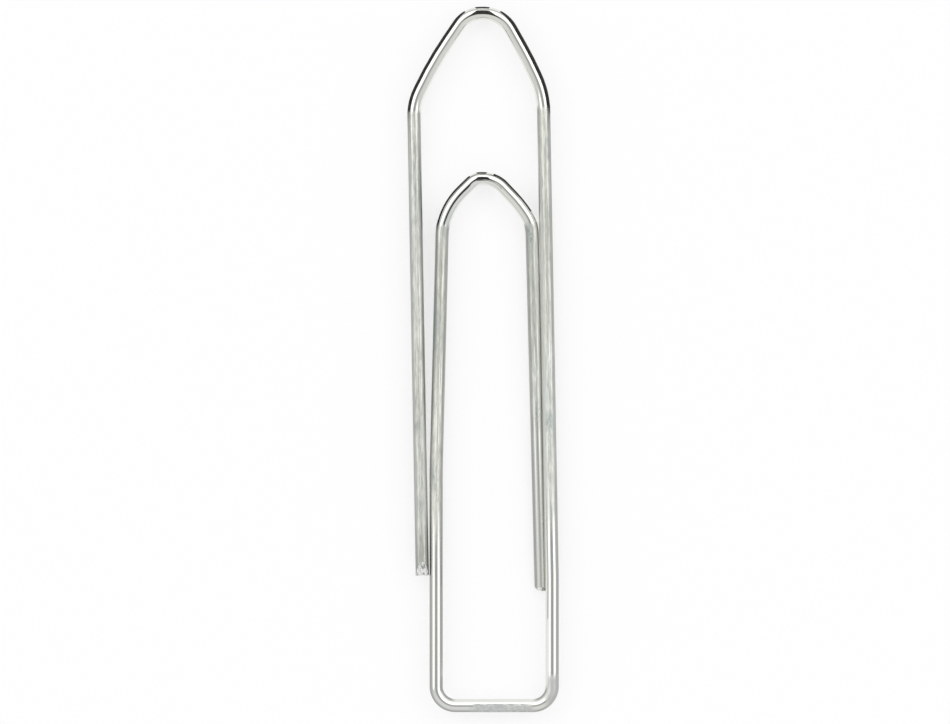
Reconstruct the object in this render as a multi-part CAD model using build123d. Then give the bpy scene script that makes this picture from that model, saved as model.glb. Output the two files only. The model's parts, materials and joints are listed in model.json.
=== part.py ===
"""Pointed paper clip: one zinc-plated steel wire bent flat, as the straight runs and bends it is formed in.

+X is across the clip, +Y runs from the square base to the pointed end, +Z is up from the table.
Sizes are in millimetres. Reaches are measured from the tip line, the line along +Y through both points.
"""
import math
import os

from build123d import *

# Wire, and the gap between two legs that lie side by side
wire_diameter = 1.45
side_gap = 0.06

# Outside length, from the base bar to the outer point
clip_length = 77.0

# Base: a square-cornered U, whose two sides stand upright as far as the knees
base_right_reach = 7.63
base_left_reach = 5.03
base_corner_radius = 2.1
right_knee_height = 14.2
left_knee_height = 25.7
knee_radius = 60.0

# Outer loop, each side: the shoulder's reach, how far it lies below the tip, its bend,
# how far the slope bows out, and the round of that side of the tip
outer_right_reach = 6.67
outer_right_drop = 8.79
outer_right_radius = 9.6
outer_right_bow = 0.18
outer_right_tip_radius = 3.4
outer_left_reach = 7.48
outer_left_drop = 9.82
outer_left_radius = 6.1
outer_left_bow = 0.38
outer_left_tip_radius = 2.9
outer_tip_flat = 0.3
free_end_height = 14.2

# Tongue: the inner loop, measured from the base bar
tongue_length = 57.5
tongue_left_reach = 4.37
tongue_left_drop = 5.35
tongue_left_radius = 5.5
tongue_left_bow = 0.7
tongue_left_tip_radius = 1.5
tongue_right_drop = 4.9
tongue_right_radius = 3.9
tongue_right_bow = 0.23
tongue_right_tip_radius = 2.9
tongue_tip_flat = 0.3
tongue_end_height = 12.5

# The tongue's right leg dips from the tip, so that its end tucks in under the long leg
tongue_dip = 1.6
tongue_end_tuck = 0.33

# Cut ends: the free leg is pinched off, the tongue leg is cut at a slant and tumbled smooth
pinch_length = 1.5
pinch_land = 0.5
tumbled_slant = 12.0
tumbled_land = 0.65

# Share of the shorter half of a slope that the bend over its crest takes up
crest_share = 0.9

wire_radius = wire_diameter / 2
leg_pitch = wire_diameter + side_gap
outer_tip_height = clip_length - wire_diameter
tongue_left_height = tongue_length - tongue_left_drop
tongue_right_height = tongue_length - tongue_right_drop


def leg_x(base_x, knee_height, shoulder, height):
    """How far across a leg lies at a height: upright to its knee, then leaning in to its shoulder."""
    climb = max(height - knee_height, 0) / (shoulder.Y - knee_height)
    return base_x + (shoulder.X - base_x) * climb


def beside(base_x, knee_height, shoulder, height):
    """The centre of a wire that lies one pitch to the left of such a leg."""
    lean = math.atan2(base_x - shoulder.X, shoulder.Y - knee_height)
    return Vector(leg_x(base_x, knee_height, shoulder, height) - leg_pitch / math.cos(lean), height)


def bend(before, corner, after, radius):
    """The arc that rounds one corner of the wire's route."""
    back = (before - corner).normalized()
    ahead = (after - corner).normalized()
    half = math.radians(back.get_angle(ahead)) / 2
    inward = (back + ahead).normalized()
    start = corner + back * (radius / math.tan(half))
    middle = corner + inward * (radius / math.sin(half) - radius)
    end = corner + ahead * (radius / math.tan(half))
    return ThreePointArc(start, middle, end)


def slope_top(flat, height, radius, corner):
    """Where a straight line from a corner below a tip touches the round of the tip."""
    side = math.copysign(1, corner.X)
    centre = Vector(side * flat / 2, height - radius)
    to_corner = corner - centre
    swing = math.degrees(math.acos(radius / to_corner.length))
    return centre + to_corner.normalized().rotate(Axis.Z, side * swing) * radius


def slope_crest(tip, shoulder, bow):
    """The corner half-way up a slope, which stands out from the straight by the bow."""
    top = slope_top(*tip, shoulder)
    square = -90 * math.copysign(1, shoulder.X)
    return (shoulder + top) / 2 + (top - shoulder).normalized().rotate(Axis.Z, square) * bow


def crest_bend(foot, crest, top):
    """The long bend over the crest of a slope."""
    room = crest_share * min((foot - crest).length, (top - crest).length)
    half = math.radians((foot - crest).get_angle(top - crest)) / 2
    return bend(foot, crest, top, room * math.tan(half))


def tip_bend(flat, height, radius, crest):
    """The arc of a tip on the side of that crest, from its slope to its short flat top."""
    side = math.copysign(1, crest.X)
    centre = Vector(side * flat / 2, height - radius)
    start = slope_top(flat, height, radius, crest)
    top = centre + Vector(0, radius)
    middle = centre + ((start - centre) + (top - centre)).normalized() * radius
    return ThreePointArc(start, middle, top)


def wire_along(*route):
    """Round wire along a chain of lines and arcs."""
    path = Wire([piece.edge() for piece in route])
    section = Plane(origin=path @ 0, z_dir=path % 0) * Circle(wire_radius)
    return sweep(section, path=path)


# Corners of the route, in the order in which the wire is bent
outer_left_corner = Vector(-outer_left_reach, outer_tip_height - outer_left_drop)
outer_right_corner = Vector(outer_right_reach, outer_tip_height - outer_right_drop)
right_knee = Vector(base_right_reach, right_knee_height)
base_right_corner = Vector(base_right_reach, 0)
base_left_corner = Vector(-base_left_reach, 0)
left_knee = Vector(-base_left_reach, left_knee_height)
tongue_left_corner = Vector(-tongue_left_reach, tongue_left_height)

# The tongue's right leg runs along the long leg, and the free leg ends beside the tongue's left leg
right_leg = (base_right_reach, right_knee_height, outer_right_corner)
left_leg = (-base_left_reach, left_knee_height, tongue_left_corner)
tongue_right_corner = beside(*right_leg, tongue_right_height)
tongue_end = beside(*right_leg, tongue_end_height) + Vector(tongue_end_tuck, 0)
free_end = beside(*left_leg, free_end_height)

# Bends of the outer loop
outer_left_tip = (outer_tip_flat, outer_tip_height, outer_left_tip_radius)
outer_left_crest = slope_crest(outer_left_tip, outer_left_corner, outer_left_bow)
outer_left_bend = bend(free_end, outer_left_corner, outer_left_crest, outer_left_radius)
outer_left_tip_bend = tip_bend(*outer_left_tip, outer_left_crest)
outer_left_crest_bend = crest_bend(outer_left_bend @ 1, outer_left_crest, outer_left_tip_bend @ 0)
outer_right_tip = (outer_tip_flat, outer_tip_height, outer_right_tip_radius)
outer_right_crest = slope_crest(outer_right_tip, outer_right_corner, outer_right_bow)
outer_right_bend = bend(right_knee, outer_right_corner, outer_right_crest, outer_right_radius)
outer_right_tip_bend = tip_bend(*outer_right_tip, outer_right_crest)
outer_right_crest_bend = crest_bend(outer_right_bend @ 1, outer_right_crest, outer_right_tip_bend @ 0)

# Bends of the base
right_knee_bend = bend(outer_right_corner, right_knee, base_right_corner, knee_radius)
base_right_bend = bend(right_knee, base_right_corner, base_left_corner, base_corner_radius)
base_left_bend = bend(base_right_corner, base_left_corner, left_knee, base_corner_radius)
left_knee_bend = bend(base_left_corner, left_knee, tongue_left_corner, knee_radius)

# Bends of the tongue
tongue_left_tip = (tongue_tip_flat, tongue_length, tongue_left_tip_radius)
tongue_left_crest = slope_crest(tongue_left_tip, tongue_left_corner, tongue_left_bow)
tongue_left_bend = bend(left_knee, tongue_left_corner, tongue_left_crest, tongue_left_radius)
tongue_left_tip_bend = tip_bend(*tongue_left_tip, tongue_left_crest)
tongue_left_crest_bend = crest_bend(tongue_left_bend @ 1, tongue_left_crest, tongue_left_tip_bend @ 0)
tongue_right_tip = (tongue_tip_flat, tongue_length, tongue_right_tip_radius)
tongue_right_crest = slope_crest(tongue_right_tip, tongue_right_corner, tongue_right_bow)
tongue_right_bend = bend(tongue_end, tongue_right_corner, tongue_right_crest, tongue_right_radius)
tongue_right_tip_bend = tip_bend(*tongue_right_tip, tongue_right_crest)
tongue_right_crest_bend = crest_bend(tongue_right_bend @ 1, tongue_right_crest, tongue_right_tip_bend @ 0)

# Places where the wire runs straight across and twists as the clip is opened
outer_tip_twist = (outer_left_tip_bend @ 1 + outer_right_tip_bend @ 1) / 2
base_twist = (base_right_bend @ 1 + base_left_bend @ 0) / 2
tongue_tip_twist = (tongue_left_tip_bend @ 1 + tongue_right_tip_bend @ 1) / 2


def pinched_leg():
    """The free leg, its end squeezed to a blunt edge by the two jaws of a cutter."""
    leg = wire_along(Line(free_end, outer_left_bend @ 0))
    back = (outer_left_bend @ 0 - free_end).normalized()
    jaw_plane = Plane(origin=free_end, x_dir=back, z_dir=back.cross(Vector(0, 0, 1)))
    rise = wire_radius - pinch_land / 2
    low = pinch_land / 2 - rise
    high = pinch_land / 2 + 2 * rise
    jaw_outline = Polyline((-pinch_length, low), (2 * pinch_length, high), (-pinch_length, high), close=True)
    jaw = extrude(jaw_plane * make_face(jaw_outline), amount=wire_diameter, both=True)
    return leg - jaw - mirror(jaw, about=Plane.XY)


def tumbled_leg():
    """The tongue's free leg, cut at a slant with its rim worn round."""
    back = (tongue_right_bend @ 0 - tongue_end).normalized()
    leg = wire_along(Line(tongue_right_bend @ 0, tongue_end - back * wire_diameter))
    slant = Plane(origin=tongue_end, z_dir=back.rotate(Axis.Z, -tumbled_slant))
    leg = split(leg, bisect_by=slant, keep=Keep.TOP)
    rim = leg.edges().sort_by(Axis.Y)[0]
    return fillet(rim, (wire_diameter - tumbled_land) / 2)


def slope(shoulder_bend, over_crest, round_tip):
    """The bowed slope from a shoulder to a tip."""
    foot = Line(shoulder_bend @ 1, over_crest @ 0)
    head = Line(over_crest @ 1, round_tip @ 0)
    return wire_along(foot, over_crest, head)


def half_tip(round_tip, twist):
    """One side of a tip, as far as the place where it twists."""
    return wire_along(round_tip, Line(round_tip @ 1, twist))


def dipped(section):
    """A section of the tongue's right side, turned down about the line across the tongue tip."""
    return section.rotate(Axis(tongue_tip_twist, (1, 0, 0)), tongue_dip)


sections = {
    "outer_free_leg": pinched_leg(),
    "outer_left_shoulder": wire_along(outer_left_bend),
    "outer_left_slope": slope(outer_left_bend, outer_left_crest_bend, outer_left_tip_bend),
    "outer_tip_left": half_tip(outer_left_tip_bend, outer_tip_twist),
    "outer_tip_right": half_tip(outer_right_tip_bend, outer_tip_twist),
    "outer_right_slope": slope(outer_right_bend, outer_right_crest_bend, outer_right_tip_bend),
    "outer_right_shoulder": wire_along(outer_right_bend),
    "outer_long_leg": wire_along(Line(outer_right_bend @ 0, right_knee_bend @ 0)),
    "base_right_leg": wire_along(right_knee_bend, Line(right_knee_bend @ 1, base_right_bend @ 0)),
    "base_right_corner": wire_along(base_right_bend),
    "base_bar_right": wire_along(Line(base_right_bend @ 1, base_twist)),
    "base_bar_left": wire_along(Line(base_twist, base_left_bend @ 0)),
    "base_left_corner": wire_along(base_left_bend),
    "base_left_leg": wire_along(Line(base_left_bend @ 1, left_knee_bend @ 0), left_knee_bend),
    "tongue_long_leg": wire_along(Line(left_knee_bend @ 1, tongue_left_bend @ 0)),
    "tongue_left_shoulder": wire_along(tongue_left_bend),
    "tongue_left_slope": slope(tongue_left_bend, tongue_left_crest_bend, tongue_left_tip_bend),
    "tongue_tip_left": half_tip(tongue_left_tip_bend, tongue_tip_twist),
    "tongue_tip_right": dipped(half_tip(tongue_right_tip_bend, tongue_tip_twist)),
    "tongue_right_slope": dipped(slope(tongue_right_bend, tongue_right_crest_bend, tongue_right_tip_bend)),
    "tongue_right_shoulder": dipped(wire_along(tongue_right_bend)),
    "tongue_free_leg": dipped(tumbled_leg()),
}

# The origin is under the middle of the clip's box, on the table
box = Compound(list(sections.values())).bounding_box()
to_origin = Location((-box.center().X, -box.center().Y, -box.min.Z))

os.makedirs("parts", exist_ok=True)
for name, section in sections.items():
    export_step(section.moved(to_origin), f"parts/{name}.step")

twists = {"outer tip": outer_tip_twist, "base bar": base_twist, "tongue tip": tongue_tip_twist}
for name, point in twists.items():
    place = point + to_origin.position
    print(f"{name} twists about +X through {place.X:.4f}, {place.Y:.4f}, {place.Z:.4f} mm")
print(f"box {box.size.X:.3f} x {box.size.Y:.3f} x {box.size.Z:.3f} mm")
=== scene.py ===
import json
import math
from collections import namedtuple

import bmesh
import bpy
from mathutils import Matrix, Vector


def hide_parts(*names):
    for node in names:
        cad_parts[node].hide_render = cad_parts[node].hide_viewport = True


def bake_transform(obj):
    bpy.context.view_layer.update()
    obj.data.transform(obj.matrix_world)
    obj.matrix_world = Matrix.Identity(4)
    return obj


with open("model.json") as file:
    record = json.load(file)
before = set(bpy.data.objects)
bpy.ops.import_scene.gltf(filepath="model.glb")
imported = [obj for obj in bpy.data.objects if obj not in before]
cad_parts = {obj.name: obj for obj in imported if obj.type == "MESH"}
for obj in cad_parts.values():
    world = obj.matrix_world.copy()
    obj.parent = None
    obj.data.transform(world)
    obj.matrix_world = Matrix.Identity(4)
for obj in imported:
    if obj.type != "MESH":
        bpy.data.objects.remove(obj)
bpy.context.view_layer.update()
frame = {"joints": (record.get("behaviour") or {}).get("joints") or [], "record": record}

MM = 0.001
UP = Vector((0, 0, 1))
ACROSS = Vector((1, 0, 0))

# Where the wire runs straight across and twists as the clip opens
twists = {joint["name"]: Vector(joint["pos_m"]) for joint in frame["joints"]}
OUTER_TIP = twists["free_leg_flex"]
BASE_BAR = twists["clip_open"]
TONGUE_TIP = twists["tongue_leg_flex"]

# Wire, and the gap between two legs that lie side by side
WIRE_RADIUS = 0.725 * MM
SIDE_GAP = 0.06 * MM
LEG_PITCH = 2 * WIRE_RADIUS + SIDE_GAP
SIDES = 56
BEND_STEP = math.radians(3)
SHARP_EDGE = math.radians(25)
MERGED = 0.002 * MM

# The route is drawn flat: across from the line through both tips, and up from the base bar
ORIGIN = Vector((OUTER_TIP.x, BASE_BAR.y, BASE_BAR.z))
OUTER_HEIGHT = OUTER_TIP.y - BASE_BAR.y
TONGUE_HEIGHT = TONGUE_TIP.y - BASE_BAR.y

# Base: a square-cornered U, whose two sides stand upright as far as the knees
BASE_RIGHT_REACH = 7.63 * MM
BASE_LEFT_REACH = 5.03 * MM
BASE_CORNER_RADIUS = 2.1 * MM
RIGHT_KNEE_HEIGHT = 14.2 * MM
LEFT_KNEE_HEIGHT = 25.7 * MM
KNEE_RADIUS = 60 * MM

# Points, each side: the shoulder's reach, how far it lies below the tip, its bend,
# how far the slope bows out, and the round of that side of the tip
OUTER_RIGHT_REACH = 6.67 * MM
OUTER_RIGHT_DROP = 8.79 * MM
OUTER_RIGHT_RADIUS = 9.6 * MM
OUTER_RIGHT_BOW = 0.18 * MM
OUTER_RIGHT_TIP_RADIUS = 3.4 * MM
OUTER_LEFT_REACH = 7.48 * MM
OUTER_LEFT_DROP = 9.82 * MM
OUTER_LEFT_RADIUS = 6.1 * MM
OUTER_LEFT_BOW = 0.38 * MM
OUTER_LEFT_TIP_RADIUS = 2.9 * MM
TONGUE_LEFT_REACH = 4.37 * MM
TONGUE_LEFT_DROP = 5.35 * MM
TONGUE_LEFT_RADIUS = 5.5 * MM
TONGUE_LEFT_BOW = 0.7 * MM
TONGUE_LEFT_TIP_RADIUS = 1.5 * MM
TONGUE_RIGHT_DROP = 4.9 * MM
TONGUE_RIGHT_RADIUS = 3.9 * MM
TONGUE_RIGHT_BOW = 0.23 * MM
TONGUE_RIGHT_TIP_RADIUS = 2.9 * MM
TIP_FLAT = 0.3 * MM
CREST_SHARE = 0.9

# Ends: the free leg is pinched off, and the tongue's right leg dips, tucks in under the long leg
# and is tumbled smooth
FREE_END_HEIGHT = 14.2 * MM
PINCH_LENGTH = 1.5 * MM
PINCH_LAND = 0.5 * MM
TORN_REACH = 1.2 * WIRE_RADIUS
TORN_CUTS = 6
TORN_UNEVENNESS = 0.15
TORN_SEED = 4
TONGUE_END_HEIGHT = 12.5 * MM
TONGUE_END_TUCK = 0.33 * MM
TONGUE_DIP = math.radians(1.6)
TUMBLED_SLANT = math.radians(12)
TUMBLED_ROUND = 0.4 * MM
TUMBLED_STEPS = 8

Bend = namedtuple("Bend", "run radius turn")


def beside(foot_x, knee_height, shoulder, height):
    """The centre of a wire one pitch to the left of a leg, which is upright to its knee and then leans."""
    climb = max(height - knee_height, 0) / (shoulder.y - knee_height)
    lean = math.atan2(foot_x - shoulder.x, shoulder.y - knee_height)
    return Vector((foot_x + (shoulder.x - foot_x) * climb - LEG_PITCH / math.cos(lean), height))


def tip_touch(corner, tip_radius, tip_height):
    """Where a straight line from a corner below a tip touches the round of the tip."""
    side = math.copysign(1, corner.x)
    centre = Vector((side * TIP_FLAT / 2, tip_height - tip_radius))
    to_corner = corner - centre
    swing = math.acos(tip_radius / to_corner.length)
    return centre + Matrix.Rotation(side * swing, 2) @ to_corner.normalized() * tip_radius


def point_side(foot, shoulder, shoulder_radius, bow, tip_radius, tip_height):
    """One side of a point as corners with their bends: shoulder, crest of the bowed slope, and tip."""
    straight = tip_touch(shoulder, tip_radius, tip_height)
    quarter = math.copysign(math.pi / 2, shoulder.x)
    outward = Matrix.Rotation(-quarter, 2) @ (straight - shoulder).normalized()
    crest = (shoulder + straight) / 2 + outward * bow
    touch = tip_touch(crest, tip_radius, tip_height)
    tip = crest + (touch - crest) * ((tip_height - crest.y) / (touch.y - crest.y))
    shoulder_room = shoulder_radius * math.tan((shoulder - foot).angle(crest - shoulder) / 2)
    room = CREST_SHARE * min((crest - shoulder).length - shoulder_room, (touch - crest).length)
    crest_radius = room / math.tan((crest - shoulder).angle(touch - crest) / 2)
    return [(shoulder, shoulder_radius), (crest, crest_radius), (tip, tip_radius)]


def bends_along(route):
    """The bend at each corner of the route, all to the right, and the straight run before it."""
    bends = []
    room_before = 0.0
    for (before, _), (corner, radius), (after, _) in zip(route, route[1:], route[2:]):
        turn = (corner - before).angle_signed(after - corner)
        room = radius * math.tan(turn / 2)
        bends.append(Bend((corner - before).length - room_before - room, radius, turn))
        room_before = room
    return bends


def within(parts, place, reach):
    """The edges or faces that lie wholly within reach of a place."""
    return [part for part in parts if all((vert.co - place).length < reach for vert in part.verts)]


class Wire:
    """A wire on its way through the bender, with the place, heading and length it has reached.

    The attribute "drawn" keeps where each point was on the straight wire: up, to the inner side, along.
    """

    def __init__(self, place, heading, along=0.0):
        self.place = place.copy()
        self.heading = heading
        self.along = along
        self.mesh = bmesh.new()
        self.drawn = self.mesh.verts.layers.float_vector.new("drawn")
        bmesh.ops.create_circle(self.mesh, cap_ends=True, radius=WIRE_RADIUS, segments=SIDES)
        for vert in self.mesh.verts:
            vert[self.drawn] = (vert.co.x, vert.co.y, along)
        upright = Matrix(((0, 0, 1), (0, -1, 0), (1, 0, 0))).to_4x4()
        turned = Matrix.Translation(place) @ Matrix.Rotation(heading, 4, "Z") @ upright
        bmesh.ops.transform(self.mesh, matrix=turned, verts=self.mesh.verts)
        self.rim = list(self.mesh.edges)

    def ahead(self):
        """The way in which the wire is going."""
        return Vector((math.cos(self.heading), math.sin(self.heading), 0))

    def grown(self, geometry, length):
        """Takes the new rim, and says how far along the wire it is."""
        self.along += length
        verts = [part for part in geometry if isinstance(part, bmesh.types.BMVert)]
        for vert in verts:
            vert[self.drawn] = (vert[self.drawn].x, vert[self.drawn].y, self.along)
        fresh = set(verts)
        edges = [part for part in geometry if isinstance(part, bmesh.types.BMEdge)]
        self.rim = [edge for edge in edges if fresh.issuperset(edge.verts)]
        return verts

    def feed(self, length):
        """Pushes a straight length out."""
        geometry = bmesh.ops.extrude_edge_only(self.mesh, edges=self.rim)["geom"]
        verts = self.grown(geometry, length)
        step = self.ahead() * length
        bmesh.ops.translate(self.mesh, vec=step, verts=verts)
        self.place += step

    def bend(self, radius, angle):
        """Bends to the right in small steps."""
        steps = max(2, round(angle / BEND_STEP))
        to_right = Vector((self.ahead().y, -self.ahead().x, 0))
        centre = self.place + to_right * radius
        for _ in range(steps):
            turned = bmesh.ops.spin(
                self.mesh, geom=self.rim, cent=centre, axis=UP, dvec=(0, 0, 0), angle=-angle / steps,
                steps=1, use_merge=False, use_normal_flip=False, use_duplicate=False)
            self.grown(turned["geom_last"], radius * angle / steps)
        self.heading -= angle
        self.place = centre + Matrix.Rotation(-angle, 3, "Z") @ (self.place - centre)

    def form(self, bends):
        """Feeds and bends the wire, and gives where along it each bend starts and ends."""
        places = []
        for run, radius, turn in bends:
            if run:
                self.feed(run)
            start = self.along
            self.bend(radius, turn)
            places.append((start, self.along))
        return places

    def close(self):
        """Closes the end that the wire has reached."""
        bmesh.ops.contextual_create(self.mesh, geom=self.rim)

    def trim(self, place, outward, low, high):
        """Cuts the wire off past a plane between two lengths along it, closes the cut and gives its rim."""
        low -= MERGED
        high += MERGED
        faces = [
            face for face in self.mesh.faces
            if all(low < vert[self.drawn].z < high for vert in face.verts)]
        end = set(faces)
        for face in faces:
            end.update(face.verts)
            end.update(face.edges)
        cut = bmesh.ops.bisect_plane(
            self.mesh, geom=list(end), plane_co=place, plane_no=outward, clear_outer=True)
        edges = [part for part in cut["geom_cut"] if isinstance(part, bmesh.types.BMEdge)]
        made = bmesh.ops.contextual_create(self.mesh, geom=edges)["faces"]
        for face in made:
            face.material_index = 1
        return edges

    def finished(self, name, materials):
        """The wire as an object, with its sharp edges marked."""
        bmesh.ops.remove_doubles(self.mesh, verts=self.mesh.verts, dist=MERGED)
        bmesh.ops.recalc_face_normals(self.mesh, faces=self.mesh.faces)
        for face in self.mesh.faces:
            face.smooth = True
        for edge in self.mesh.edges:
            edge.smooth = edge.calc_face_angle(0) < SHARP_EDGE
        data = bpy.data.meshes.new(name)
        self.mesh.to_mesh(data)
        self.mesh.free()
        for material in materials:
            data.materials.append(material)
        piece = bpy.data.objects.new(name, data)
        bpy.context.scene.collection.objects.link(piece)
        return piece


def node(tree, kind, sockets=None, **settings):
    """A node with its settings, each socket set to a value or joined to another node's output."""
    made = tree.nodes.new(kind)
    for name, value in settings.items():
        setattr(made, name, value)
    for name, value in (sockets or {}).items():
        if isinstance(value, bpy.types.NodeSocket):
            tree.links.new(value, made.inputs[name])
        else:
            made.inputs[name].default_value = value
    return made


def new_material(name):
    material = bpy.data.materials.new(name)
    material.use_nodes = True
    return material, material.node_tree


def maths(tree, operation, first, second=0.0):
    return node(tree, "ShaderNodeMath", {0: first, 1: second}, operation=operation).outputs[0]


def times(tree, first, second):
    return maths(tree, "MULTIPLY", first, second)


def ramp(tree, value, low, high, to_low=0.0, to_high=1.0):
    """Goes smoothly from one value to another while the input goes from low to high."""
    sockets = {"Value": value, "From Min": low, "From Max": high, "To Min": to_low, "To Max": to_high}
    return node(tree, "ShaderNodeMapRange", sockets, interpolation_type="SMOOTHSTEP").outputs[0]


def mixed(tree, factor, first, second, blend="MIX"):
    sockets = {0: factor, 6: first, 7: second}
    return node(tree, "ShaderNodeMix", sockets, data_type="RGBA", blend_type=blend).outputs[2]


def drawn_grain():
    """Noise with its own size across and along the wire, for each metal of the clip."""
    group = bpy.data.node_groups.new("drawn_grain", "ShaderNodeTree")
    for name in ("Place", "Stretch"):
        group.interface.new_socket(name, in_out="INPUT", socket_type="NodeSocketVector")
    for name in ("Fineness", "Detail", "Harshness"):
        group.interface.new_socket(name, in_out="INPUT", socket_type="NodeSocketFloat")
    group.interface.new_socket("Grain", in_out="OUTPUT", socket_type="NodeSocketFloat")
    given = node(group, "NodeGroupInput").outputs
    spread = node(group, "ShaderNodeMapping", {"Vector": given["Place"], "Scale": given["Stretch"]})
    sockets = {"Vector": spread.outputs[0], "Scale": given["Fineness"], "Detail": given["Detail"],
               "Roughness": given["Harshness"]}
    noise = node(group, "ShaderNodeTexNoise", sockets)
    node(group, "NodeGroupOutput", {"Grain": noise.outputs["Fac"]})
    return group


GRAIN = drawn_grain()


def grain(tree, place, stretch, fineness, detail, harshness=0.5):
    sockets = {"Place": place, "Stretch": stretch, "Fineness": fineness, "Detail": detail,
               "Harshness": harshness}
    return node(tree, "ShaderNodeGroup", sockets, node_tree=GRAIN).outputs["Grain"]


def stretches(tree, along, spans, fade):
    """One on the given stretches of the wire, fading out at both ends of each."""
    total = 0.0
    for low, high in spans:
        rising = ramp(tree, along, low, low + fade)
        falling = ramp(tree, along, high - fade, high, 1, 0)
        inside = times(tree, rising, falling)
        total = maths(tree, "MAXIMUM", inside, total)
    return total


# Zinc: its colours, with painted shade and painted light for the flanks, how rough it is, and how slowly one
# finish or painted shade turns into the next along the wire
ZINC_GREY = (0.50, 0.51, 0.475, 1)
ZINC_BRIGHT = (0.83, 0.83, 0.78, 1)
ZINC_MOTTLED = (0.45, 0.47, 0.43, 1)
ZINC_STAINED = (0.36, 0.405, 0.40, 1)
ZINC_GLINT = (0.98, 0.98, 0.95, 1)
ZINC_SMOOTH = (0.83, 0.83, 0.80, 1)
WARM_CAST = (1.0, 1.0, 0.98, 1)
COOL_CAST = (0.96, 0.985, 0.985, 1)
# Painted light on the flanks of the stretches given for it
PAINTED_FLANK_LIGHT = (0.80, 0.805, 0.77, 1)
# Painted shade on the flanks, for matte and for glossy stretches
MATTE_FLANK_SHADE = (0.42, 0.425, 0.41, 1)
GLOSSY_FLANK_SHADE = (0.25, 0.255, 0.245, 1)
SCRAPED_ZINC = (0.57, 0.59, 0.58, 1)
SCRAPED_EDGE = (0.36, 0.37, 0.365, 1)
RUBBED_ZINC = (0.51, 0.52, 0.51, 1)
MATTE_LEAST = 0.30
MATTE_MOST = 0.48
GLOSSY = 0.13
BURNISHED = 0.08
WORN = 0.45
BURNISH_FADE = 1.0 * MM
GLOSS_FADE = 13 * MM
WEAR_FADE = 1.2 * MM
MOTTLE_FADE = 3 * MM
# How slowly the painted shade and painted light on the flanks fade in and out along the wire
FLANK_SHADE_FADE = 9 * MM
GRAIN_DEPTH = 0.02 * MM


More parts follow.
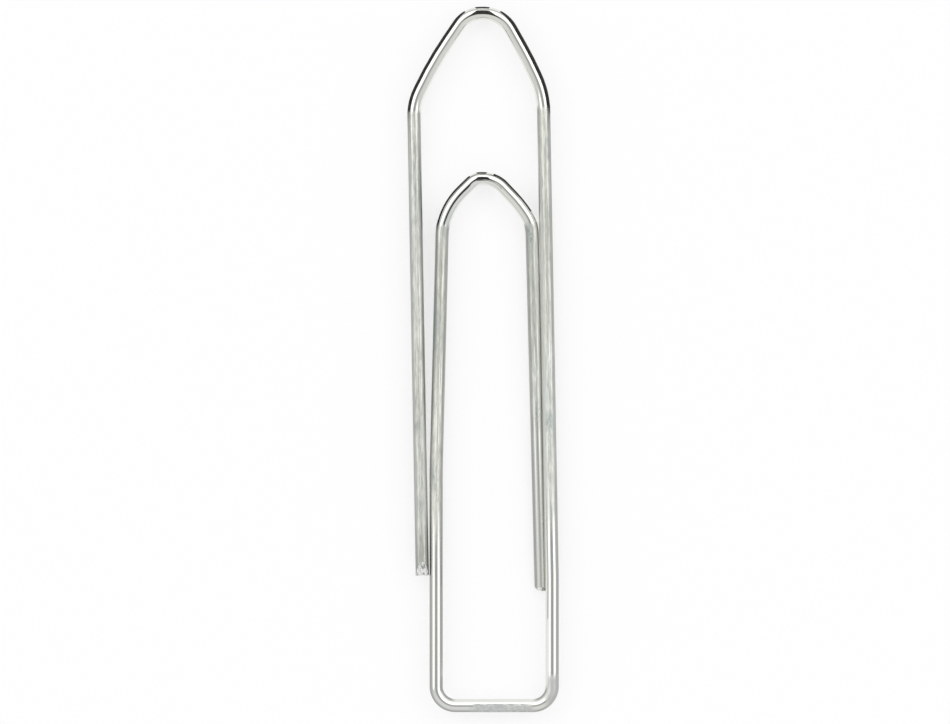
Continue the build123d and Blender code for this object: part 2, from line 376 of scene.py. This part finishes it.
def bright_zinc(burnished, glossy, worn, rubbed, mottled, corner_shade, painted_light_inside, painted_light_outside):
    """Zinc plating on drawn wire: mottled, streaked lengthwise, smooth where bent, with painted shade on the
    flanks and painted light on the flanks of given stretches.
    """
    material, tree = new_material("bright_zinc")
    surface = tree.nodes["Principled BSDF"]
    drawn = node(tree, "ShaderNodeAttribute", attribute_name="drawn").outputs["Vector"]
    apart = node(tree, "ShaderNodeSeparateXYZ", {"Vector": drawn})
    along = apart.outputs["Z"]
    inward = times(tree, apart.outputs["Y"], 1 / WIRE_RADIUS)
    streaks = grain(tree, drawn, stretch=(1, 1, 0.012), fineness=9000, detail=3)
    mottle = grain(tree, drawn, stretch=(1, 1, 0.14), fineness=4200, detail=6, harshness=0.7)
    patches = grain(tree, drawn, stretch=(1, 1, 0.12), fineness=800, detail=4)
    tint = grain(tree, drawn, stretch=(1, 1, 0.2), fineness=400, detail=2)
    speckle = grain(tree, drawn, stretch=(1, 1, 0.45), fineness=4600, detail=4, harshness=0.7)
    blots = grain(tree, drawn, stretch=(1, 1, 0.25), fineness=600, detail=3)

    burnish = stretches(tree, along, burnished, BURNISH_FADE)
    gloss = stretches(tree, along, glossy, GLOSS_FADE)
    smooth = maths(tree, "MAXIMUM", burnish, gloss)
    raw = stretches(tree, along, mottled, MOTTLE_FADE)
    wear = times(tree, stretches(tree, along, worn, WEAR_FADE), ramp(tree, inward, 0.28, 0.4, 1, 0))
    rub = times(tree, stretches(tree, along, rubbed, WEAR_FADE), ramp(tree, inward, 0.5, 0.8, 1, 0))
    # Painted shade on both flanks of the wire: faint on the stretches given painted light, full on the inner
    # flank in the corners
    inside_shade_base = ramp(tree, stretches(tree, along, painted_light_inside, FLANK_SHADE_FADE), 0, 1, 1, 0.05)
    inside_shade = maths(tree, "MAXIMUM", inside_shade_base, stretches(tree, along, corner_shade, WEAR_FADE))
    outside_shade = ramp(tree, stretches(tree, along, painted_light_outside, FLANK_SHADE_FADE), 0, 1, 1, 0.15)
    inner = times(tree, ramp(tree, inward, 0.5, 0.85), inside_shade)
    outer = times(tree, ramp(tree, inward, -0.5, -0.85), outside_shade)
    flank_shade = times(tree, maths(tree, "ADD", inner, outer), ramp(tree, burnish, 0, 1, 0.85, 0))
    # Painted light on the flanks of the stretches given for it, where the painted shade is faint
    inner_light = times(tree, ramp(tree, inward, 0.3, 0.8), ramp(tree, inside_shade, 0.05, 1, 1, 0))
    outer_light = times(tree, ramp(tree, inward, -0.3, -0.8), ramp(tree, outside_shade, 0.15, 1, 1, 0))
    flank_light = maths(tree, "MAXIMUM", inner_light, outer_light)

    blotch = maths(tree, "ADD", times(tree, mottle, 0.6), times(tree, streaks, 0.4))
    plated = mixed(tree, ramp(tree, blotch, 0.38, 0.62), ZINC_GREY, ZINC_BRIGHT)
    plated = mixed(tree, times(tree, raw, ramp(tree, blotch, 0.35, 0.6, 0.95, 0.35)), plated, ZINC_MOTTLED)
    stain = times(tree, ramp(tree, blots, 0.54, 0.66), ramp(tree, speckle, 0.4, 0.6, 1.0, 0.4))
    plated = mixed(tree, stain, plated, ZINC_STAINED)
    glint = times(tree, ramp(tree, streaks, 0.56, 0.68), ramp(tree, blots, 0.4, 0.54, 1, 0))
    plated = mixed(tree, glint, plated, ZINC_GLINT)
    even = mixed(tree, smooth, plated, ZINC_SMOOTH)
    cast = mixed(tree, ramp(tree, tint, 0.42, 0.62), WARM_CAST, COOL_CAST)
    # Painted light on those flanks
    toned = mixed(tree, flank_light, mixed(tree, 1.0, even, cast, "MULTIPLY"), PAINTED_FLANK_LIGHT)
    # Painted shade on the flanks
    shaded_colour = mixed(tree, flank_shade, toned, mixed(tree, gloss, MATTE_FLANK_SHADE, GLOSSY_FLANK_SHADE))
    bare = mixed(tree, ramp(tree, inward, -0.05, 0.2), SCRAPED_ZINC, SCRAPED_EDGE)
    scraped = mixed(tree, times(tree, wear, ramp(tree, speckle, 0.42, 0.6, 1.0, 0.3)), shaded_colour, bare)
    colour = mixed(tree, times(tree, rub, ramp(tree, mottle, 0.4, 0.62, 1.0, 0.6)), scraped, RUBBED_ZINC)

    patchy = ramp(tree, patches, 0.3, 0.7, MATTE_LEAST, MATTE_MOST)
    matte = maths(tree, "ADD", patchy, times(tree, mottle, 0.1))
    shiny = ramp(tree, gloss, 0, 1, matte, GLOSSY)
    bent = ramp(tree, burnish, 0, 1, shiny, BURNISHED)
    rough = ramp(tree, maths(tree, "MAXIMUM", wear, rub), 0, 1, bent, WORN)
    height = times(tree, maths(tree, "ADD", streaks, mottle), 0.6)
    pitted = maths(tree, "ADD", height, times(tree, speckle, wear))
    depth = maths(tree, "MAXIMUM", ramp(tree, smooth, 0, 1, 0.3, 0.03), times(tree, wear, 0.5))
    marks = {"Distance": GRAIN_DEPTH, "Height": pitted, "Strength": depth}
    tree.links.new(colour, surface.inputs["Base Color"])
    tree.links.new(rough, surface.inputs["Roughness"])
    tree.links.new(node(tree, "ShaderNodeBump", marks).outputs[0], surface.inputs["Normal"])
    surface.inputs["Metallic"].default_value = 1.0
    return material


TORN_GREY = (0.36, 0.37, 0.35, 1)
TORN_BRIGHT = (0.95, 0.95, 0.93, 1)
TEAR_DEPTH = 0.06 * MM


def sheared_steel():
    """Bare steel where the cutter went through: bright, torn across."""
    material, tree = new_material("sheared_steel")
    surface = tree.nodes["Principled BSDF"]
    place = node(tree, "ShaderNodeTexCoord").outputs["Object"]
    torn = grain(tree, place, stretch=(1, 0.35, 1), fineness=4500, detail=4)
    tear = ramp(tree, torn, 0.36, 0.56)
    marks = {"Distance": TEAR_DEPTH, "Height": tear, "Strength": 0.6}
    tree.links.new(mixed(tree, tear, TORN_GREY, TORN_BRIGHT), surface.inputs["Base Color"])
    tree.links.new(ramp(tree, tear, 0.3, 0.7, 0.25, 0.45), surface.inputs["Roughness"])
    tree.links.new(node(tree, "ShaderNodeBump", marks).outputs[0], surface.inputs["Normal"])
    surface.inputs["Metallic"].default_value = 1.0
    return material


# Corners of the route
outer_left_shoulder = Vector((-OUTER_LEFT_REACH, OUTER_HEIGHT - OUTER_LEFT_DROP))
outer_right_shoulder = Vector((OUTER_RIGHT_REACH, OUTER_HEIGHT - OUTER_RIGHT_DROP))
right_knee = Vector((BASE_RIGHT_REACH, RIGHT_KNEE_HEIGHT))
right_corner = Vector((BASE_RIGHT_REACH, 0))
left_corner = Vector((-BASE_LEFT_REACH, 0))
left_knee = Vector((-BASE_LEFT_REACH, LEFT_KNEE_HEIGHT))
tongue_left_shoulder = Vector((-TONGUE_LEFT_REACH, TONGUE_HEIGHT - TONGUE_LEFT_DROP))

# The tongue's right leg runs along the long leg, and the free leg ends beside the tongue's left leg
long_leg = (BASE_RIGHT_REACH, RIGHT_KNEE_HEIGHT, outer_right_shoulder)
left_leg = (-BASE_LEFT_REACH, LEFT_KNEE_HEIGHT, tongue_left_shoulder)
tongue_right_shoulder = beside(*long_leg, TONGUE_HEIGHT - TONGUE_RIGHT_DROP)
tongue_end = beside(*long_leg, TONGUE_END_HEIGHT) + Vector((TONGUE_END_TUCK, 0))
free_end = beside(*left_leg, FREE_END_HEIGHT)

# The whole route, in the order in which a bender forms it
outer_left = point_side(
    free_end, outer_left_shoulder,
    OUTER_LEFT_RADIUS, OUTER_LEFT_BOW, OUTER_LEFT_TIP_RADIUS, OUTER_HEIGHT)
outer_right = point_side(
    right_knee, outer_right_shoulder,
    OUTER_RIGHT_RADIUS, OUTER_RIGHT_BOW, OUTER_RIGHT_TIP_RADIUS, OUTER_HEIGHT)
tongue_left = point_side(
    left_knee, tongue_left_shoulder,
    TONGUE_LEFT_RADIUS, TONGUE_LEFT_BOW, TONGUE_LEFT_TIP_RADIUS, TONGUE_HEIGHT)
tongue_right = point_side(
    tongue_end, tongue_right_shoulder,
    TONGUE_RIGHT_RADIUS, TONGUE_RIGHT_BOW, TONGUE_RIGHT_TIP_RADIUS, TONGUE_HEIGHT)
route = [
    (free_end, 0), *outer_left, *reversed(outer_right),
    (right_knee, KNEE_RADIUS), (right_corner, BASE_CORNER_RADIUS),
    (left_corner, BASE_CORNER_RADIUS), (left_knee, KNEE_RADIUS),
    *tongue_left, *reversed(tongue_right), (tongue_end, 0),
]
bends = bends_along(route)
at_base = len(outer_left) + len(outer_right) + 1
outer_bends = bends[:at_base]
right_corner_bend, left_corner_bend = bends[at_base:at_base + 2]
tongue_bends = bends[at_base + 2:]

# Outer loop, from the pinched free end over the outer point and down the long leg, past its knee
first_leg = outer_left_shoulder - free_end
pinched = ORIGIN + free_end.to_3d()
outer = Wire(pinched, math.atan2(first_leg.y, first_leg.x))
free_ahead = outer.ahead()
outer_places = outer.form(outer_bends)
outer_point = (outer_places[0][0], outer_places[-2][1])
outer.feed(right_corner_bend.run)
outer.close()
rise = WIRE_RADIUS - PINCH_LAND / 2
for side in (1, -1):
    jaw = UP * (side * PINCH_LENGTH) - free_ahead * rise
    outer.trim(pinched + UP * (side * PINCH_LAND / 2), jaw.normalized(), 0, outer_point[0])
torn = within(outer.mesh.edges, pinched, TORN_REACH)
bmesh.ops.subdivide_edges(
    outer.mesh, edges=torn, cuts=TORN_CUTS, fractal=TORN_UNEVENNESS, seed=TORN_SEED)
end_faces = within(outer.mesh.faces, pinched, PINCH_LENGTH + WIRE_RADIUS)
bmesh.ops.poke(outer.mesh, faces=end_faces)

# Base, round both corners and along the bar
base = Wire(outer.place, outer.heading, outer.along)
base.form([right_corner_bend._replace(run=0), left_corner_bend])
base.close()

# Tongue, past its knee, over its point and down to the tumbled end, its right side dipping from the tip
tongue = Wire(base.place, base.heading, base.along)
tongue_places = tongue.form(tongue_bends)
tongue_point = (tongue_places[1][0], tongue_places[-1][1])
tumbled = ORIGIN + tongue_end.to_3d()
tongue.feed((tumbled - tongue.place).length)
tongue.feed(2 * WIRE_RADIUS)
tongue.close()
slant = Matrix.Rotation(-TUMBLED_SLANT, 3, "Z") @ tongue.ahead()
rim = tongue.trim(tumbled, slant, tongue_point[1], tongue.along)
bmesh.ops.bevel(
    tongue.mesh, geom=rim, offset=TUMBLED_ROUND, offset_type="OFFSET", affect="EDGES",
    segments=TUMBLED_STEPS, profile=0.5, material=-1, clamp_overlap=False)
right_side = [vert for vert in tongue.mesh.verts if vert.co.x > TONGUE_TIP.x - MERGED]
dip = Matrix.Rotation(TONGUE_DIP, 3, ACROSS)
bmesh.ops.rotate(tongue.mesh, cent=TONGUE_TIP, matrix=dip, verts=right_side)

# How far each finish, and the painted shade and painted light on the flanks, reaches along the wire from the
# end, corner or point where it starts
BURNISH_INSET = 0.6 * MM
LONG_LEG_GLOSS = 25 * MM
LEFT_LEG_GLOSS = 23 * MM
TUCKED_LEG_GLOSS = 27 * MM
GLOSS_PAST_END = 9 * MM
BAR_WEAR_START = 2.8 * MM
BAR_WEAR_END = 10.5 * MM
RUB_BEFORE_CORNER = 1.8 * MM
RUB_INTO_CORNER = 2.4 * MM
MOTTLE_PAST_END = 4 * MM
FREE_END_MOTTLE = 5 * MM
LONG_LEG_MOTTLE_START = 8 * MM
LONG_LEG_MOTTLE_END = 26 * MM
LEFT_LEG_MOTTLE = 18 * MM
TUCKED_LEG_MOTTLE = 16 * MM
MOTTLE_INTO_POINT = 0.5 * MM
# Painted shade on the inner flank round the base's corners
SHADE_IN_CORNER = 3.6 * MM
SHADE_BEFORE_CORNER = 0.5 * MM
SHADE_PAST_CORNER = 2 * MM
# Painted light on the flanks, in place of most of the painted shade
FREE_LEG_LIGHT_START = 1 * MM
FREE_LEG_LIGHT_END = 21 * MM
LIGHT_PAST_BASE = 5 * MM
LIGHT_INTO_POINT = 4 * MM
LIGHT_PAST_END = 11 * MM

# What each stretch of the wire looks like, by its length along the wire
zinc = bright_zinc(
    burnished=[outer_point, (tongue_point[0] + BURNISH_INSET, tongue_point[1] - BURNISH_INSET)],
    glossy=[(outer.along - LONG_LEG_GLOSS, base.along + LEFT_LEG_GLOSS),
            (tongue.along - TUCKED_LEG_GLOSS, tongue.along + GLOSS_PAST_END)],
    worn=[(outer.along + BAR_WEAR_START, outer.along + BAR_WEAR_END)],
    rubbed=[(outer.along - RUB_BEFORE_CORNER, outer.along + RUB_INTO_CORNER)],
    mottled=[(-MOTTLE_PAST_END, FREE_END_MOTTLE),
             (outer_point[1] + LONG_LEG_MOTTLE_START, outer_point[1] + LONG_LEG_MOTTLE_END),
             (tongue_point[0] - LEFT_LEG_MOTTLE, tongue_point[0]),
             (tongue_point[1] - MOTTLE_INTO_POINT, tongue_point[1] + TUCKED_LEG_MOTTLE)],
    # Painted shade on the inner flank round both corners of the base
    corner_shade=[(outer.along - SHADE_BEFORE_CORNER, outer.along + SHADE_IN_CORNER),
                  (base.along - SHADE_IN_CORNER, base.along + SHADE_PAST_CORNER)],
    # Painted light, and less painted shade, on the inner flank and on the outer flank of these stretches
    painted_light_inside=[(FREE_LEG_LIGHT_START, FREE_LEG_LIGHT_END), (outer_point[1], base.along + LIGHT_PAST_BASE)],
    painted_light_outside=[(tongue_point[1] - LIGHT_INTO_POINT, tongue.along + LIGHT_PAST_END)])
steel = sheared_steel()
outer_loop = outer.finished("outer_loop", [zinc, steel])
base_bar = base.finished("base_bar", [zinc])
tongue_loop = tongue.finished("tongue_loop", [zinc, steel])

bodies = frame["record"]["behaviour"]["bodies"]
base_nodes = ["base_right_corner", "base_bar_right", "base_bar_left", "base_left_corner"]
outer_nodes = [name for name in bodies["outer_frame"] + bodies["outer_free_side"] if name not in base_nodes]
tongue_nodes = [name for name in bodies["tongue"] + bodies["tongue_free_side"] if name not in base_nodes]
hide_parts(*outer_nodes)
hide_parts(*base_nodes)
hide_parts(*tongue_nodes)
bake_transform(outer_loop)
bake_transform(base_bar)
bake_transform(tongue_loop)


def staged(name, mesh, material):
    """A thing of the studio, which is no part of the clip."""
    data = bpy.data.meshes.new(name)
    mesh.to_mesh(data)
    mesh.free()
    data.materials.append(material)
    thing = bpy.data.objects.new(name, data)
    bpy.context.scene.collection.objects.link(thing)
    return thing


FLOOR_HALF = 3.0
PAPER_WHITE = (0.92, 0.92, 0.92, 1)
PAPER_ROUGHNESS = 0.9
FLOOR_LIFT = 0.8
NARROW_GAP = 3 * MM


def pale_floor():
    """White paper, lifted towards white where it is seen, but not in the narrow gaps between two wires."""
    material, tree = new_material("pale_floor")
    paper = tree.nodes["Principled BSDF"]
    paper.inputs["Base Color"].default_value = PAPER_WHITE
    paper.inputs["Roughness"].default_value = PAPER_ROUGHNESS
    paper.inputs["Specular IOR Level"].default_value = 0.0
    ray = node(tree, "ShaderNodeLightPath").outputs
    seen = maths(tree, "MAXIMUM", ray["Is Camera Ray"], ray["Is Glossy Ray"])
    seen = maths(tree, "MAXIMUM", seen, ray["Is Transmission Ray"])
    openness = node(tree, "ShaderNodeAmbientOcclusion", {"Distance": NARROW_GAP}, samples=2).outputs["AO"]
    lift = times(tree, times(tree, seen, ramp(tree, openness, 0.1, 0.4)), FLOOR_LIFT)
    white = node(tree, "ShaderNodeEmission").outputs[0]
    lifted = node(tree, "ShaderNodeMixShader", {0: lift, 1: paper.outputs[0], 2: white})
    tree.links.new(lifted.outputs[0], tree.nodes["Material Output"].inputs["Surface"])
    return material


floor_mesh = bmesh.new()
bmesh.ops.create_grid(floor_mesh, x_segments=1, y_segments=1, size=FLOOR_HALF)
staged("floor", floor_mesh, pale_floor())

# Cards close to the clip: black ones, which the burnished points mirror, and white ones inside the base,
# which the bar and the lower end of the long leg mirror. Their corners are in mm, across and up from the
# tip of their point or from the middle of the bar, and above the floor
CARD_FOOT = 0.1
TIP_CARD_TOP = 2.0
LID_HEIGHT = 7.0
WHITE_CARD_TOP = 6.0
VELVET_SHADE = 0.05


def level_card(height, *corners):
    """A card that lies flat at a height."""
    return [(*corner, height) for corner in corners]


def upright_card(start, end, start_top, end_top):
    """A card that stands on its foot between two places."""
    return [(*start, CARD_FOOT), (*end, CARD_FOOT), (*end, end_top), (*start, start_top)]


def rising_card(start_left, start_right, end_right, end_left):
    """A card that rises from its foot as it leads away from a tip."""
    return level_card(CARD_FOOT, start_left, start_right) + level_card(TIP_CARD_TOP, end_right, end_left)


OUTER_POINT_CARDS = {
    "card_outer_left_wall": level_card(CARD_FOOT, (-15.4, -10.8), (-4.8, 5.7)) + [
        (-4.8, 5.7, 1.5), (-6.9, 2.4, 5.3), (-15.4, -10.8, 5.3)],
    "card_outer_right_wall": level_card(CARD_FOOT, (14.5, -10.8), (5.2, 6.9)) + [
        (5.2, 6.9, 1.5), (7.3, 2.9, 6.6), (14.5, -10.8, 6.6)],
    "card_outer_left_floor": level_card(CARD_FOOT, (-15.4, -10.8), (-4.8, 5.7), (-1.6, -0.4), (-7.3, -10.8)),
    "card_outer_right_floor": level_card(CARD_FOOT, (14.5, -10.8), (5.2, 6.9), (1.7, -0.4), (7.1, -10.8)),
    "card_outer_tip_floor": rising_card((-0.8, 0.0), (0.8, 0.0), (1.2, 4.2), (-1.2, 4.2)),
    "card_outer_tip_lid": level_card(LID_HEIGHT, (-1.5, -1.5), (1.7, -1.5), (1.7, 6.2), (-1.5, 6.2)),
}
TONGUE_POINT_CARDS = {
    "card_tongue_left_wall": upright_card((-6.4, -5.1), (-2.6, 2.2), 2.5, 2.2),
    "card_tongue_right_wall": upright_card((6.0, -3.1), (2.0, 2.9), 2.2, 2.4),
    "card_tongue_left_floor": level_card(CARD_FOOT, (-6.4, -5.1), (-2.6, 2.2), (-1.3, -0.5), (-4.2, -5.5)),
    "card_tongue_right_floor": level_card(CARD_FOOT, (6.0, -3.1), (2.0, 2.9), (1.1, -0.3), (5.1, -5.1)),
    "card_tongue_tip_floor": rising_card((-0.8, 0.0), (0.5, 0.0), (0.7, 3.3), (-1.0, 3.3)),
    "card_tongue_tip_lid": level_card(LID_HEIGHT, (-1.1, -1.5), (1.1, -1.5), (1.1, 3.3), (-1.1, 3.3)),
    "card_tongue_left_lid": level_card(LID_HEIGHT, (-4.3, -5.3), (-3.3, -5.8), (0.5, -2.9), (-1.1, 0.3)),
}
BAR_CARDS = {
    "card_bar": upright_card((-5.7, 4.8), (4.8, 4.8), WHITE_CARD_TOP, WHITE_CARD_TOP),
}
LONG_LEG_CARDS = {
    "card_long_leg": upright_card((0.8, 1.8), (0.8, 9.3), WHITE_CARD_TOP, WHITE_CARD_TOP),
}
INSIDE_OUTER_POINT = OUTER_TIP - Vector((0, 5, 0)) * MM
INSIDE_TONGUE_POINT = TONGUE_TIP - Vector((0, 3, 0)) * MM
LONG_LEG_END = BASE_BAR + Vector((6, 9, 0)) * MM


def card_material(name, shader, shade):
    """A shade of grey on the side that faces the clip, and clear from behind."""
    material, tree = new_material(name)
    front = node(tree, shader, {"Color": (shade, shade, shade, 1)}).outputs[0]
    behind = node(tree, "ShaderNodeNewGeometry").outputs["Backfacing"]
    clear = node(tree, "ShaderNodeBsdfTransparent").outputs[0]
    shown = node(tree, "ShaderNodeMixShader", {0: behind, 1: front, 2: clear})
    tree.links.new(shown.outputs[0], tree.nodes["Material Output"].inputs["Surface"])
    return material


def mirrored_cards(cards, middle, facing, material):
    """Cards round a middle, which face one place on the clip and show only as reflections."""
    below = Vector((middle.x, middle.y, 0))
    for name, corners in cards.items():
        card_mesh = bmesh.new()
        for corner in corners:
            card_mesh.verts.new(below + Vector(corner) * MM)
        face = bmesh.ops.contextual_create(card_mesh, geom=list(card_mesh.verts))["faces"][0]
        face.normal_update()
        if face.normal.dot(facing - face.calc_center_median()) < 0:
            bmesh.ops.reverse_faces(card_mesh, faces=[face])
        card = staged(name, card_mesh, material)
        card.visible_camera = False
        card.visible_diffuse = False
        card.visible_transmission = False
        card.visible_shadow = False


black_velvet = card_material("black_velvet", "ShaderNodeBsdfDiffuse", VELVET_SHADE)
white_card = card_material("white_card", "ShaderNodeEmission", 1.0)
mirrored_cards(OUTER_POINT_CARDS, OUTER_TIP, INSIDE_OUTER_POINT, black_velvet)
mirrored_cards(TONGUE_POINT_CARDS, TONGUE_TIP, INSIDE_TONGUE_POINT, black_velvet)
mirrored_cards(BAR_CARDS, BASE_BAR, BASE_BAR, white_card)
mirrored_cards(LONG_LEG_CARDS, BASE_BAR, LONG_LEG_END, white_card)

# Light from the dome: the panel's own, and the grey walls at both ends and overhead
PANEL_LEVEL = 1.1
BASE_SIDE_LEVEL = 0.8
POINT_SIDE_LEVEL = 0.6
OVERHEAD_SHARE = 0.58


def studio_dome():
    """Soft light all round: a bright panel on the side of the points, grey elsewhere, dim overhead."""
    world = bpy.data.worlds.new("studio_dome")
    world.use_nodes = True
    tree = world.node_tree
    toward = node(tree, "ShaderNodeTexCoord").outputs["Generated"]
    apart = node(tree, "ShaderNodeSeparateXYZ", {"Vector": toward}).outputs
    rise = maths(tree, "MAXIMUM", apart["Z"], 0.05)
    to_side = maths(tree, "DIVIDE", maths(tree, "ABSOLUTE", apart["X"]), rise)
    to_point = maths(tree, "DIVIDE", apart["Y"], rise)
    wing = ramp(tree, to_side, 0.28, 0.9, 0.0, 0.3)
    panel = ramp(tree, maths(tree, "ADD", to_point, wing), 0.02, 0.2)
    lit = times(tree, panel, ramp(tree, apart["Z"], 0.4, 0.6))
    wall = ramp(tree, apart["Y"], -0.5, 0.1, BASE_SIDE_LEVEL, POINT_SIDE_LEVEL)
    overhead = ramp(tree, apart["Z"], 0.93, 0.99, 1.0, OVERHEAD_SHARE)
    level = times(tree, maths(tree, "ADD", times(tree, lit, PANEL_LEVEL), wall), overhead)
    background = tree.nodes["Background"]
    background.inputs["Color"].default_value = (1, 1, 1, 1)
    tree.links.new(level, background.inputs["Strength"])
    return world


bpy.context.scene.world = studio_dome()

# Camera straight above, with a long lens, framed as the photograph is
PIXEL = 0.10914 * MM
PHOTO_WIDTH = 950 * PIXEL
VIEW_LEFT = 8.05 * PIXEL
VIEW_DOWN = 2.55 * PIXEL
lens = bpy.data.cameras.new("camera")
lens.lens = 300
lens.sensor_width = 36
lens.clip_end = 10
camera = bpy.data.objects.new("camera", lens)
camera.location = (-VIEW_LEFT, -VIEW_DOWN, BASE_BAR.z + PHOTO_WIDTH * lens.lens / lens.sensor_width)
bpy.context.scene.collection.objects.link(camera)
bpy.context.scene.camera = camera
bpy.context.scene.view_settings.view_transform = "Standard"
